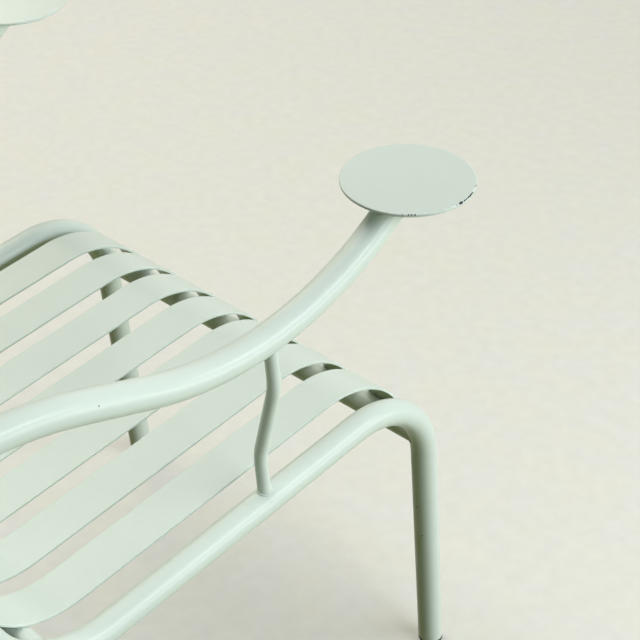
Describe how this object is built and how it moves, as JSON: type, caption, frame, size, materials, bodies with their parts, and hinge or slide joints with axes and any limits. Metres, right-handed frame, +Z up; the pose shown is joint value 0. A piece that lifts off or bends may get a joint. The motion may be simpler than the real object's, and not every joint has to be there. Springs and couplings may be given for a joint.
{
  "type": "metal lounge chair",
  "caption": "Low outdoor lounge chair of bent round tube with lengthwise flat steel slats rolled over the front and top, and swept arms ending in flat round plates.",
  "frame": {"origin": "on the floor, under the middle of the chair", "axes": "+Z up, the chair faces -Y, +X is the sitter's left"},
  "size_m": [0.6838, 0.9619, 0.7599],
  "materials": {
    "frame_paint": "satin powder coat",
    "arm_paint": "satin powder coat",
    "slat_paint": "satin powder coat",
    "disc_paint": "satin powder coat, chipped at the rim",
    "glide_plastic": "moulded, matt"
  },
  "bodies": {
    "root": {"side_frame_left": "frame_paint", "side_frame_right": "frame_paint", "front_cross_tube": "frame_paint", "seat_cross_tube": "frame_paint", "top_cross_tube": "frame_paint", "arm_left": "arm_paint", "arm_right": "arm_paint", "arm_stay_left": "arm_paint", "arm_stay_right": "arm_paint", "slat_1": "slat_paint", "slat_2": "slat_paint", "slat_3": "slat_paint", "slat_4": "slat_paint", "slat_5": "slat_paint", "slat_6": "slat_paint", "slat_7": "slat_paint", "arm_disc_left": "disc_paint", "arm_disc_right": "disc_paint", "foot_glide_front_left": "glide_plastic", "foot_glide_front_right": "glide_plastic", "foot_glide_rear_left": "glide_plastic", "foot_glide_rear_right": "glide_plastic"}
  },
  "joints": []
}
